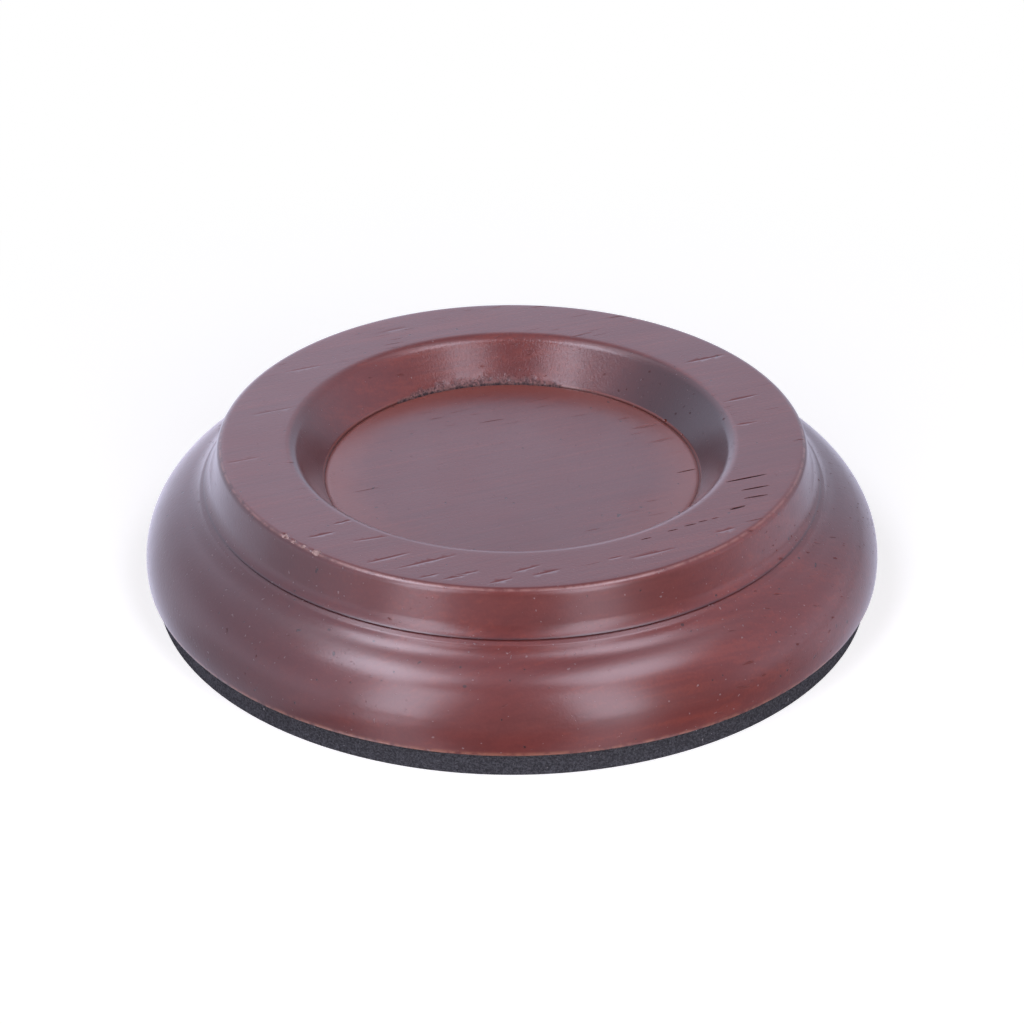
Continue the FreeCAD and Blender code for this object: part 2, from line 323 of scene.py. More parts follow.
def grain_cutter(cut, height, raised):
    """An ellipsoid along the grain. Not raised it cuts a split, and raised only a soft furrow."""
    radius_mm, turn, length, width, depth, direction = cut
    at = math.radians(turn)
    mouth = math.sqrt(1.0 - raised * raised)
    tall = depth / (1.0 - raised)
    across, along = radius_mm * MM * math.cos(at), radius_mm * MM * math.sin(at)
    clear_selection()
    bpy.ops.mesh.primitive_uv_sphere_add(
        segments=28,
        ring_count=18,
        radius=MM,
        location=(across, along, height + raised * tall * MM),
        rotation=(0.0, 0.0, math.radians(direction)),
        scale=(length / 2 / mouth, width / 2 / mouth, tall),
    )
    return bpy.context.object


def cut_grain(piece, cuts, height, raised):
    """Cut one kind of mark out of a piece with a Boolean difference."""
    cutters = [grain_cutter(cut, height, raised) for cut in cuts]
    clear_selection()
    for cutter in cutters:
        cutter.select_set(True)
    bpy.context.view_layer.objects.active = cutters[0]
    if len(cutters) > 1:
        bpy.ops.object.join()
    cutter = bpy.context.object
    clear_selection()
    piece.select_set(True)
    bpy.context.view_layer.objects.active = piece
    difference = piece.modifiers.new("grain", "BOOLEAN")
    difference.operation = "DIFFERENCE"
    difference.solver = "EXACT"
    difference.object = cutter
    bpy.ops.object.modifier_apply(modifier=difference.name)
    bpy.data.objects.remove(cutter)
    print(len(cuts), "marks cut,", len(piece.data.polygons), "faces")


cut_grain(wood, RIM_PORES, TOP, PORE_RAISED)
cut_grain(wood, FLOOR_PORES, SEAT, PORE_RAISED)
cut_grain(wood, RIM_SPLITS, TOP, SPLIT_RAISED)
cut_grain(wood, FLOOR_SPLITS, SEAT, SPLIT_RAISED)

# %% Remember the depth of the splits, for painted shade in them
SHALLOW = 0.06 * MM
DEEP = 0.6 * MM
SHADE_FULL_DEPTH = 0.12 * MM
RIM_MARGIN = 1.4 * MM
FLOOR_MARGIN = 0.9 * MM


def in_split(radius, turn, height):
    """Faces well below the rim or the dish floor, and away from their edges."""
    on_rim = MOUTH_RADIUS + RIM_MARGIN < radius < RIM_RADIUS - RIM_MARGIN
    on_floor = radius < SEAT_RADIUS - FLOOR_MARGIN
    below_rim = TOP - DEEP < height < TOP - SHALLOW
    below_floor = SEAT - DEEP < height < SEAT - SHALLOW
    return on_rim and below_rim or on_floor and below_floor


def split_shade_depth(point):
    """Painted shade in a split: grows with the depth below the surface, up to 1."""
    surface = TOP if point.z > (TOP + SEAT) / 2 else SEAT
    return min(1.0, (surface - point.z) / SHADE_FULL_DEPTH)


picked = pick_faces(wood, in_split)
print("splits:", picked, "faces,", mark_selected(wood, "split", split_shade_depth), "vertices")

# %% Tear the foot of the dish wall
TEAR_MIDDLE = 105.0
TEAR_REACH = 27.0
TEAR_HEIGHT = 1.15 * MM
TEAR_INNER = SEAT_RADIUS - 0.3 * MM
TEAR_OUTER = SEAT_RADIUS + 2.0 * MM
TEAR_DEPTH = 0.06 * MM


def in_tear(radius, turn, height):
    """Ragged band above the corner, tallest in the middle of the tear."""
    off = (turn - TEAR_MIDDLE) / TEAR_REACH
    if abs(off) > 1.0 or not TEAR_INNER < radius < TEAR_OUTER:
        return False
    ragged = 0.62 + 0.20 * math.sin(turn * 2.9) + 0.30 * math.sin(turn * 6.1 + 1.0)
    return SEAT - CORNER_NICK < height < SEAT + TEAR_HEIGHT * (1.0 - off * off) * ragged


def torn_amount(point):
    """Torn most at the corner, and fading up the wall."""
    return max(0.25, 1.0 - 0.8 * (point.z - SEAT) / TEAR_HEIGHT)


picked = pick_faces(wood, in_tear)
bpy.ops.mesh.subdivide(number_cuts=3, fractal=0.6, fractal_along_normal=0.75, seed=5)
bpy.ops.transform.shrink_fatten(value=-TEAR_DEPTH)
bpy.ops.transform.vertex_random(offset=TEAR_DEPTH, uniform=0.0, normal=0.55, seed=11)
torn_count = mark_selected(wood, "torn", torn_amount)
print("tear:", picked, "faces picked,", torn_count, "vertices torn")

# %% Chip the rim's outer edge
# Each chip: turn round the rim in degrees, reach and depth in mm.
RIM_CHIPS = [(225.6, 0.44, 0.10), (228.4, 0.34, 0.06), (231.0, 0.32, 0.05), (234.2, 0.50, 0.12)]
CHIP_RADIUS = RIM_RADIUS - 0.45 * MM
CHIP_HEIGHT = TOP - 0.14 * MM
CHIP_STRETCH = 1.35
CHIP_ROUGH = 0.05 * MM


def chip_test(middle_turn, reach_mm):
    """Test for the faces within reach of a chip, measured round the edge and across it."""

    def in_chip(radius, turn, height):
        swing = math.radians(turn - middle_turn) * RIM_RADIUS
        across = math.hypot(radius - CHIP_RADIUS, height - CHIP_HEIGHT)
        return math.hypot(swing / CHIP_STRETCH, across) < reach_mm * MM

    return in_chip


for seed, (turn, reach_mm, depth_mm) in enumerate(RIM_CHIPS):
    pick_faces(wood, chip_test(turn, reach_mm))
    bpy.ops.mesh.subdivide(number_cuts=3)
    bpy.ops.mesh.select_less()
    bpy.ops.transform.shrink_fatten(value=-depth_mm * MM)
    bpy.ops.transform.vertex_random(offset=CHIP_ROUGH, uniform=0.0, normal=0.2, seed=31 + seed)
    print("chip at", turn, "degrees:", mark_selected(wood, "bare", lambda point: 1.0), "vertices")

# %% Smooth the turning by angle


def smooth_by_angle(piece, angle):
    """Shade a piece smooth, and keep the edges that are sharper than an angle in degrees."""
    clear_selection()
    piece.select_set(True)
    bpy.context.view_layer.objects.active = piece
    bpy.ops.object.shade_smooth_by_angle(angle=math.radians(angle))
    print(piece.name, "smoothed,", len(piece.data.polygons), "faces")


smooth_by_angle(wood, 38.0)

# %% [markdown]
# ## The foam disc
# The foam is die-cut from a sheet with its own glue, a little smaller than the wood. A knife
# squeezes foam as it cuts, so the edge springs back slightly hollow, with tiny open cells. A
# plain cylinder would look like rubber, so the edge is drawn hollow, spun, and roughened.

# %% Spin the foam
FOAM_RADIUS = min(foam_high.x, foam_high.y)
FOAM_THICK = foam_high.z - foam_low.z
EDGE_HOLLOW = 0.22 * MM
EDGE_TRIM = 0.06 * MM
EDGE_STEPS = 12
foam_edge = []
for i in range(EDGE_STEPS + 1):
    up = i / EDGE_STEPS
    bow = math.sin(math.pi * up) ** 0.7
    edge_radius = FOAM_RADIUS - EDGE_TRIM - EDGE_HOLLOW * bow
    foam_edge.append((edge_radius, foam_low.z + up * FOAM_THICK))
foam_section = run((0.0, foam_low.z), (FOAM_RADIUS - 0.5 * MM, foam_low.z), 10)
foam_section += foam_edge
foam_section += run((FOAM_RADIUS - 0.8 * MM, foam_high.z), (0.0, foam_high.z), 6)
foam = spin_section("foam_disc", foam_section, FOAM_STEPS)

# %% Roughen the cut edge
EDGE_ROUGH = 0.05 * MM
EDGE_BAND = 0.45 * MM
EDGE_MARGIN = 0.2 * MM


def in_cut_edge(radius, turn, height):
    """Only the middle of the edge, so that the flat faces stay flat."""
    in_band = radius > FOAM_RADIUS - EDGE_BAND
    return in_band and foam_low.z + EDGE_MARGIN < height < foam_high.z - EDGE_MARGIN


picked = pick_faces(foam, in_cut_edge)
bpy.ops.transform.vertex_random(offset=EDGE_ROUGH, uniform=0.0, normal=0.6, seed=3)
print("foam edge:", picked, "faces roughened")
smooth_by_angle(foam, 45.0)

# %% [markdown]
# ## Helpers for the finishes
# A finish is a tree of nodes. Adding each node by hand takes several lines, so a few helpers add
# a node, fill its inputs with values or with links, and hand back the output that is wanted.

# %% Node helpers


def add_node(tree, kind, inputs=None, **options):
    """Add a node, set its options, and fill its inputs with values or links."""
    node = tree.nodes.new(kind)
    for name, value in options.items():
        setattr(node, name, value)
    for name, value in (inputs or {}).items():
        if isinstance(value, bpy.types.NodeSocket):
            tree.links.new(value, node.inputs[name])
        else:
            node.inputs[name].default_value = value
    return node


def calc(tree, operation, *values):
    """One step of arithmetic on values or links."""
    inputs = dict(enumerate(values))
    return add_node(tree, "ShaderNodeMath", inputs, operation=operation).outputs[0]


def product(tree, first, *others):
    """Multiply values or links in turn."""
    total = first
    for other in others:
        total = calc(tree, "MULTIPLY", total, other)
    return total


def weighed(tree, *parts):
    """Add up parts, each a value or link and its weight."""
    total = 0.0
    for part, weight in parts:
        total = calc(tree, "MULTIPLY_ADD", part, weight, total)
    return total


print("arithmetic helpers ready")

# %% Pattern helpers


def band(tree, value, low, high, to_low=0.0, to_high=1.0):
    """Ease from one value to another while the input goes from low to high."""
    inputs = {"Value": value, "From Min": low, "From Max": high}
    inputs.update({"To Min": to_low, "To Max": to_high})
    return add_node(tree, "ShaderNodeMapRange", inputs, interpolation_type="SMOOTHSTEP").outputs[0]


def tint(tree, factor, under, over):
    """Lay one colour over another."""
    inputs = {0: factor, 6: under, 7: over}
    return add_node(tree, "ShaderNodeMix", inputs, data_type="RGBA").outputs[2]


def stretch(tree, vector, scale):
    """Squeeze or stretch a pattern along the axes."""
    inputs = {0: vector, 1: scale}
    return add_node(tree, "ShaderNodeVectorMath", inputs, operation="MULTIPLY").outputs[0]


def noise(tree, vector, scale, detail=3.0, roughness=0.5):
    """Soft noise, about 0.5 on average."""
    inputs = {"Vector": vector, "Scale": scale, "Detail": detail, "Roughness": roughness}
    return add_node(tree, "ShaderNodeTexNoise", inputs).outputs[0]


def new_finish(name):
    """A material with an empty tree, its Principled shader and its output."""
    finish = bpy.data.materials.new(name)
    finish.use_nodes = True
    tree = finish.node_tree
    tree.nodes.clear()
    shader = add_node(tree, "ShaderNodeBsdfPrincipled")
    add_node(tree, "ShaderNodeOutputMaterial", {"Surface": shader.outputs[0]})
    return finish, tree, shader


print("pattern helpers ready")

# %% [markdown]
# ## Flecks, for pores, dust and foam cells
# Open pores in wood, dust on a finish and cells in foam are all small bodies strewn at random.
# One node group makes them: soft noise fills space in cells of a given size, and only its peaks
# are kept. Long cells make pores that run with the grain, and even cells make dust or foam.
# Scattered points would do too, but noise is quicker and gives each fleck its own outline.

# %% Fleck group


def build_fleck_group():
    """Group with a place, a cell size, a level and a softness; puts out a mask of the peaks."""
    group = bpy.data.node_groups.new("strewn_flecks", "ShaderNodeTree")
    sockets = group.interface
    sockets.new_socket("Place", in_out="INPUT", socket_type="NodeSocketVector")
    sockets.new_socket("Cell", in_out="INPUT", socket_type="NodeSocketVector")
    for name, value in (("Level", 0.7), ("Softness", 0.05)):
        socket = sockets.new_socket(name, in_out="INPUT", socket_type="NodeSocketFloat")
        socket.default_value = value
    sockets.new_socket("Mask", in_out="OUTPUT", socket_type="NodeSocketFloat")
    source = group.nodes.new("NodeGroupInput").outputs
    sizes = {0: source["Place"], 1: source["Cell"]}
    cells = add_node(group, "ShaderNodeVectorMath", sizes, operation="DIVIDE").outputs[0]
    peaks = noise(group, cells, 1.0, 0.0)
    above = calc(group, "ADD", source["Level"], source["Softness"])
    add_node(group, "NodeGroupOutput", {"Mask": band(group, peaks, source["Level"], above)})
    return group


FLECKS = build_fleck_group()


def flecks(tree, place, cell_mm, level, softness):
    """Place the fleck group with its own values and hand back its mask."""
    cell = tuple(size * MM for size in cell_mm)
    inputs = {"Place": place, "Cell": cell, "Level": level, "Softness": softness}
    return add_node(tree, "ShaderNodeGroup", inputs, node_tree=FLECKS).outputs["Mask"]


print("fleck group:", len(FLECKS.nodes), "nodes")

# %% [markdown]
# ## The stained wood
# The wood is a pale hardwood under a red-brown stain and a thin satin lacquer. A plain
# brown would miss what the eye reads as wood: streaks and pores that run one way through the
# whole block, darker stain where the fibres end on, and a lacquer that is duller in the pores.
# So the pattern is turned once to the direction of the grain, and everything reads from it.

# %% Grain, streaks and stain
GRAIN_TURN = math.radians(26.0)
STAIN_DARK = (0.138, 0.0268, 0.0236, 1.0)
STAIN_MIDDLE = (0.160, 0.0308, 0.0260, 1.0)
STAIN_LIGHT = (0.200, 0.0375, 0.0280, 1.0)

wood_finish, tree, wood_shader = new_finish("stained_satin_wood")
coordinates = add_node(tree, "ShaderNodeTexCoord").outputs
place = coordinates["Object"]
turned = {"Vector": place, "Rotation": (0.0, 0.0, -GRAIN_TURN)}
grain = add_node(tree, "ShaderNodeMapping", turned).outputs[0]

fibres = noise(tree, stretch(tree, grain, (0.035, 1.0, 1.0)), 1500.0, 1.0, 0.6)
streaks = noise(tree, stretch(tree, grain, (0.06, 1.0, 1.0)), 360.0, 3.0, 0.65)
clouds = noise(tree, stretch(tree, grain, (0.5, 1.0, 1.0)), 34.0, 2.0, 0.5)
peel = noise(tree, place, 2300.0, 1.0, 0.6)
tone = weighed(tree, (streaks, 0.36), (clouds, 0.26), (fibres, 0.20), (peel, 0.18))
stain = tint(tree, band(tree, tone, 0.38, 0.51), STAIN_DARK, STAIN_MIDDLE)
stain = tint(tree, band(tree, tone, 0.50, 0.61), stain, STAIN_LIGHT)
print("grain runs", round(math.degrees(GRAIN_TURN), 1), "degrees from the X axis")

# %% Where on the turning
at_x, at_y, at_z = add_node(tree, "ShaderNodeSeparateXYZ", {0: place}).outputs
squares = product(tree, at_x, at_x), product(tree, at_y, at_y)
radius = calc(tree, "SQRT", calc(tree, "ADD", *squares))
turn_angle = calc(tree, "ARCTAN2", at_y, at_x)
slope = add_node(tree, "ShaderNodeSeparateXYZ", {0: coordinates["Normal"]}).outputs[2]


def near(tree, value, middle, reach):
    """Mask that is 1 at a value and fades to 0 a reach away."""
    off = calc(tree, "ABSOLUTE", calc(tree, "SUBTRACT", value, middle))
    return band(tree, off, 0.0, reach, 1.0, 0.0)


print("radius, turn and slope measured")

# %% End grain, and painted shade on the dish wall
STAIN_END = (0.058, 0.0140, 0.0150, 1.0)
WALL_SHADE_PAINTED = (0.024, 0.0085, 0.0105, 1.0)
WALL_SHADE_TURN = math.radians(18.0)
WALL_SHADE_REACH = math.radians(62.0)
along_grain = add_node(tree, "ShaderNodeSeparateXYZ", {0: grain}).outputs[0]
end_share = calc(tree, "ABSOLUTE", calc(tree, "DIVIDE", along_grain, radius))
on_side = band(tree, slope, 0.90, 0.985, 1.0, 0.0)
end_on = product(tree, band(tree, end_share, 0.55, 1.0), on_side)
stain = tint(tree, product(tree, end_on, 0.85), stain, STAIN_END)

on_wall = product(
    tree,
    band(tree, radius, SEAT_RADIUS, SEAT_RADIUS + 0.3 * MM),
    band(tree, radius, MOUTH_RADIUS, MOUTH_RADIUS + 0.8 * MM, 1.0, 0.0),
    band(tree, at_z, TOP - 0.2 * MM, TOP - 0.8 * MM),
)
# Painted shade: the dish wall is darkened in colour round one turn on the right, standing in for
# shade there.
painted_wall_shade = product(tree, on_wall, near(tree, turn_angle, WALL_SHADE_TURN, WALL_SHADE_REACH))
stain = tint(tree, product(tree, painted_wall_shade, 0.75), stain, WALL_SHADE_PAINTED)
print("end grain darkened, and stain pooled on the dish wall")

# %% Pores
PORE_DARK = (0.050, 0.0120, 0.0120, 1.0)
LONG_PORE = (9.0, 0.60, 0.60)
FINE_PORE = (3.6, 0.34, 0.34)
porous = noise(tree, stretch(tree, grain, (0.4, 1.0, 1.0)), 40.0, 1.0)
level = band(tree, porous, 0.35, 0.65, 0.88, 0.765)
long_pores = flecks(tree, grain, LONG_PORE, level, 0.07)
fine_pores = flecks(tree, grain, FINE_PORE, level, 0.08)
pores = calc(tree, "MAXIMUM", long_pores, product(tree, fine_pores, 0.5))
stain = tint(tree, product(tree, pores, 0.22), stain, PORE_DARK)
print("pores placed along the grain")

# %% Worn edges
WORN = (0.40, 0.150, 0.092, 1.0)
RIM_LINE = (0.40, 0.185, 0.155, 1.0)
breaks = noise(tree, place, 620.0, 2.0, 0.65)
at_foot = near(tree, at_z, UNDERSIDE + 0.20 * MM, 0.95 * MM)
foot_wear = product(tree, at_foot, band(tree, breaks, 0.30, 0.62))
stain = tint(tree, product(tree, foot_wear, 0.85), stain, WORN)

at_rim_radius = near(tree, radius, RIM_RADIUS - 0.30 * MM, 0.34 * MM)
at_rim_height = near(tree, at_z, TOP - 0.16 * MM, 0.40 * MM)
rim_wear = product(tree, at_rim_radius, at_rim_height, band(tree, breaks, 0.25, 0.60))
stain = tint(tree, product(tree, rim_wear, 0.55), stain, RIM_LINE)
print("wear laid on the foot and the rim")

# %% Painted light on the floor ring, painted shade in the corner and in the turned line
FLOOR_RING_PAINTED_LIGHT = (0.280, 0.067, 0.045, 1.0)
RECESS_SHADE = (0.022, 0.010, 0.012, 1.0)
LINE_SHADE = (0.034, 0.019, 0.024, 1.0)
on_floor = product(
    tree,
    band(tree, radius, SEAT_RADIUS + 0.3 * MM, SEAT_RADIUS + 1.2 * MM, 1.0, 0.0),
    band(tree, at_z, SEAT + 0.3 * MM, SEAT + 0.1 * MM),
)
# Painted light: a paler, redder ring on the dish floor near the wall stands in for light thrown
# there by the wall and the lamps. It is fainter in front.
uneven = calc(tree, "MULTIPLY_ADD", breaks, 3.2 * MM, radius)
ring = band(tree, uneven, SEAT_RADIUS - 6.5 * MM, SEAT_RADIUS + 1.8 * MM)
faint_in_front = band(tree, at_y, -SEAT_RADIUS, -0.2 * SEAT_RADIUS, 0.25, 1.0)
stain = tint(tree, product(tree, ring, faint_in_front, on_floor), stain, FLOOR_RING_PAINTED_LIGHT)

# Painted shade: a dark line in the colour along the corner between the dish floor and its wall.
at_corner = near(tree, radius, SEAT_RADIUS - 0.04 * MM, 0.26 * MM)
corner_shade = product(tree, at_corner, near(tree, at_z, SEAT - 0.12 * MM, 0.42 * MM))
stain = tint(tree, product(tree, corner_shade, 0.65), stain, RECESS_SHADE)

# Painted shade: the turned line is darkened in colour, broken by noise, standing in for the shade
# in its groove.
at_line = near(tree, at_z, LINE_HEIGHT + 0.08 * MM, 0.36 * MM)
round_line = near(tree, radius, LINE_RADIUS - 0.3 * MM, 1.2 * MM)
line_shade = product(tree, at_line, round_line, band(tree, breaks, 0.25, 0.60, 0.45, 0.85))
stain = tint(tree, line_shade, stain, LINE_SHADE)
print("ring on the dish floor, dark corner, and grime in the turned line")

# %% Broken places
TORN_DARK = (0.052, 0.038, 0.044, 1.0)
TORN_PALE = (0.20, 0.105, 0.100, 1.0)
BARE = (0.47, 0.315, 0.285, 1.0)
torn, split, bare = (
    add_node(tree, "ShaderNodeAttribute", attribute_name=name).outputs["Fac"]
    for name in ("torn", "split", "bare")
)
frayed = noise(tree, stretch(tree, place, (1.0, 1.0, 0.50)), 2300.0, 1.0, 0.6)
torn_colour = tint(tree, band(tree, frayed, 0.40, 0.56), TORN_DARK, TORN_PALE)
stain = tint(tree, product(tree, torn, 0.8), stain, torn_colour)
# Painted shade: the splits are darkened in colour, more where they are deeper.
stain = tint(tree, product(tree, split, 0.9), stain, RECESS_SHADE)
stain = tint(tree, product(tree, bare, band(tree, frayed, 0.30, 0.55)), stain, BARE)
print("torn, split and bare wood coloured")

# %% Pits with painted shade, and dust
PIT_CELL = (0.80, 0.80, 0.80)
DUST_CELL = (0.50, 0.45, 0.45)
DUST = (0.48, 0.40, 0.41, 1.0)
pits = flecks(tree, place, PIT_CELL, 0.835, 0.03)
pits = product(tree, pits, band(tree, on_wall, 0.0, 1.0, 1.0, 0.25))
# Painted shade: the pits are darkened in colour where the relief sinks them.
stain = tint(tree, product(tree, pits, 0.75), stain, RECESS_SHADE)

in_line = near(tree, at_z, LINE_HEIGHT - 0.6 * MM, 2.4 * MM)
sheltered = calc(tree, "MAXIMUM", in_line, product(tree, on_floor, 0.45))
dust_level = band(tree, slope, 0.90, 0.99, 0.805, 0.835)
dust_level = calc(tree, "MULTIPLY_ADD", sheltered, -0.050, dust_level)
dust = flecks(tree, grain, DUST_CELL, dust_level, 0.05)
stain = tint(tree, product(tree, dust, 0.30), stain, DUST)
print("pits and dust strewn")

# %% Tool marks
unrolled = {0: product(tree, turn_angle, SEAT_RADIUS), 1: product(tree, at_z, 0.80)}
round_wall = add_node(tree, "ShaderNodeCombineXYZ", unrolled).outputs[0]
chatter = noise(tree, round_wall, 2800.0, 1.0, 0.6)
far_side = near(tree, turn_angle, math.radians(90.0), math.radians(45.0))
chatter = product(tree, chatter, on_wall, band(tree, far_side, 0.0, 0.6, 0.3, 1.0))
turning = add_node(tree, "ShaderNodeCombineXYZ", {0: radius, 1: at_z}).outputs[0]
tooling = noise(tree, turning, 900.0, 0.0)
ripple = noise(tree, place, 190.0, 0.0)
print("chatter, tool rings and ripple made")

# %% Lacquer and relief
relief = weighed(
    tree,
    (pores, -0.070 * MM),
    (pits, -0.10 * MM),
    (dust, 0.045 * MM),
    (fibres, 0.011 * MM),
    (tooling, 0.005 * MM),
    (ripple, 0.040 * MM),
    (peel, 0.0190 * MM),
    (chatter, 0.075 * MM),
    (product(tree, torn, frayed), 0.12 * MM),
)
bump = {"Height": relief, "Strength": 1.0, "Distance": 1.0}
dull = calc(tree, "MAXIMUM", calc(tree, "MAXIMUM", pores, dust), calc(tree, "MAXIMUM", torn, bare))
satin = band(tree, noise(tree, place, 90.0, 1.0), 0.3, 0.7, 0.28, 0.36)
roughness = calc(tree, "MULTIPLY_ADD", dull, 0.35, satin)
lacquer = band(tree, dull, 0.0, 1.0, 0.9, 0.15)
normal = add_node(tree, "ShaderNodeBump", bump).outputs[0]
print("wood finish of", len(tree.nodes), "nodes")

# %% Wire the wood's shader
tree.links.new(stain, wood_shader.inputs["Base Color"])
tree.links.new(roughness, wood_shader.inputs["Roughness"])
tree.links.new(lacquer, wood_shader.inputs["Coat Weight"])
tree.links.new(normal, wood_shader.inputs["Normal"])
wood_shader.inputs["Coat Roughness"].default_value = 0.24
wood_shader.inputs["Coat IOR"].default_value = 1.57
wood_shader.inputs["Specular IOR Level"].default_value = 0.43
wood.data.materials.clear()
wood.data.materials.append(wood_finish)
print("wood finish on", wood.name)

# %% [markdown]
# ## The black foam
# Closed-cell foam looks like very fine pumice: a dark skin of cut bubbles, a few of them open, and
# grey lint caught on the edge. The same fleck group strews the cells, small and even this time.
# Their hollows go into the relief, and the open ones are darkened in colour as painted shade.

# %% Foam finish
FOAM_BLACK = (0.030, 0.029, 0.034, 1.0)
FOAM_GREY = (0.085, 0.083, 0.096, 1.0)
LINT = (0.40, 0.38, 0.40, 1.0)
FOAM_CELL = (0.38, 0.38, 0.38)
LINT_CELL = (0.42, 0.42, 0.42)
foam_finish, tree, foam_shader = new_finish("black_cut_foam")
place = add_node(tree, "ShaderNodeTexCoord").outputs["Object"]
open_cells = flecks(tree, place, FOAM_CELL, 0.50, 0.18)
fine_cells = noise(tree, place, 4200.0, 3.0, 0.7)
foam_colour = tint(tree, band(tree, fine_cells, 0.36, 0.66), FOAM_BLACK, FOAM_GREY)
# Painted shade: the open cells are darkened in colour where the relief sinks them.
foam_colour = tint(tree, product(tree, open_cells, 0.55), foam_colour, FOAM_BLACK)
lint = flecks(tree, place, LINT_CELL, 0.80, 0.05)
foam_colour = tint(tree, product(tree, lint, 0.55), foam_colour, LINT)
foam_relief = weighed(
    tree, (open_cells, -0.10 * MM), (fine_cells, 0.06 * MM), (lint, 0.03 * MM)
)
foam_bump = {"Height": foam_relief, "Strength": 1.0, "Distance": 1.0}
foam_normal = add_node(tree, "ShaderNodeBump", foam_bump).outputs[0]
tree.links.new(foam_colour, foam_shader.inputs["Base Color"])
tree.links.new(foam_normal, foam_shader.inputs["Normal"])
tree.links.new(band(tree, open_cells, 0.0, 1.0, 0.78, 0.95), foam_shader.inputs["Roughness"])
foam_shader.inputs["Specular IOR Level"].default_value = 0.3
foam.data.materials.clear()
foam.data.materials.append(foam_finish)
print("foam finish on", foam.name)

# %% [markdown]
# ## Pieces in place of the solids
# Each dressed piece stands for one solid, which is hidden, and rides on the one body that the cup
# has.
# The foam is soft.

# %% Pieces and the frame
for piece, node_name, slot_name in (
    (wood, "turned_cup", "stained_wood"),
    (foam, "foam_pad", "black_foam"),
):
    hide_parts(node_name)
    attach(piece, "root")
print("pieces:", wood.name, "and", foam.name)

# %% [markdown]
# ## Studio
# Two tall soft boxes stand left and right of the camera and give the bead its pair of
# highlights, and two smaller ones hang overhead for the cove. One lamp would be simpler, but
# lacquer mirrors its room, and a plain room makes it look like plastic. So the room is bright
# behind the cup, which greys the flat rim, and dim on the camera's side, which leaves the front
# of the bead a clear red. Two bright strips on the ceiling are seen only in reflections.

# %% Soft boxes
BOX_DISTANCE = 0.75
BOX_WHITE = (0.97, 0.97, 1.15)
# Each box: name, azimuth from the camera's side and elevation in degrees, size in m, and watts.
SOFT_BOXES = [
    ("front_box_left", -29.0, 26.0, (0.25, 0.62), 1.80),
    ("front_box_right", 32.0, 26.0, (0.25, 0.62), 1.55),
    ("ceiling_box_left", -54.0, 60.0, (0.32, 0.28), 1.05),
    ("ceiling_box_right", 54.0, 62.0, (0.36, 0.28), 0.90),
]


def soft_box(name, azimuth, elevation, size, power):
    """A rectangular lamp that faces the cup, set by its direction from the cup."""
    side, rise = math.radians(azimuth), math.radians(elevation)
    flat = math.cos(rise)
    ahead = Vector((math.sin(side) * flat, -math.cos(side) * flat, math.sin(rise)))
    clear_selection()
    bpy.ops.object.light_add(type="AREA", location=ahead * BOX_DISTANCE)
    lamp = bpy.context.object
    lamp.name = lamp.data.name = name
    lamp.rotation_euler = ahead.to_track_quat("Z", "Y").to_euler()
    lamp.data.shape = "RECTANGLE"
    lamp.data.size, lamp.data.size_y = size
    lamp.data.energy = power
    lamp.data.color = BOX_WHITE


for box in SOFT_BOXES:
    soft_box(*box)
print(len(SOFT_BOXES), "soft boxes set")

# %% The room that the lacquer mirrors
ROOM_BRIGHT = (0.96, 0.96, 1.22, 1.0)
ROOM_DIM = (0.02, 0.02, 0.03, 1.0)
STRIP_WHITE = (2.7, 2.7, 3.2, 1.0)
world = bpy.data.worlds.new("white_room")
bpy.context.scene.world = world
world.use_nodes = True
tree = world.node_tree
tree.nodes.clear()
direction = add_node(tree, "ShaderNodeTexCoord").outputs["Generated"]
right, back, up = add_node(tree, "ShaderNodeSeparateXYZ", {0: direction}).outputs

behind = band(tree, back, -0.55, -0.05)
leftward = calc(tree, "MULTIPLY_ADD", back, -0.9, right)
bright = calc(tree, "MAXIMUM", behind, band(tree, leftward, -0.25, 0.0, 1.0, 0.0))
below_ceiling = band(tree, up, 0.62, 0.85, 1.0, 0.38)
room = tint(tree, product(tree, bright, below_ceiling), ROOM_DIM, ROOM_BRIGHT)
strips = product(
    tree,
    near(tree, calc(tree, "ABSOLUTE", right), 0.38, 0.24),
    near(tree, back, -0.05, 0.60),
    band(tree, up, 0.62, 0.76),
)
room = tint(tree, strips, room, STRIP_WHITE)
low_sides = product(
    tree, band(tree, up, 0.10, 0.50, 0.45, 0.0), band(tree, back, 0.30, 0.75, 1.0, 0.0)
)
strength = product(
    tree,
    band(tree, right, -1.0, -0.30, 0.66, 1.18),
    band(tree, right, -0.25, 0.04, 1.0, 0.74),
    band(tree, right, 0.0, 0.75, 1.0, 0.72),
    calc(tree, "ADD", low_sides, 1.0),
)
mirrored = add_node(tree, "ShaderNodeBackground", {"Color": room, "Strength": strength}).outputs[0]
print("mirrored room of", len(tree.nodes), "nodes")

# %% The room that lights the cup
FILL_NEAR = (0.76, 0.75, 0.75, 1.0)
FILL_FAR = (0.06, 0.06, 0.07, 1.0)
WHITE = (1.0, 1.0, 1.0, 1.0)


def blend(tree, factor, first, second):
    """Mix two shaders, from the first at 0 to the second at 1."""
    return add_node(tree, "ShaderNodeMixShader", {0: factor, 1: first, 2: second}).outputs[0]


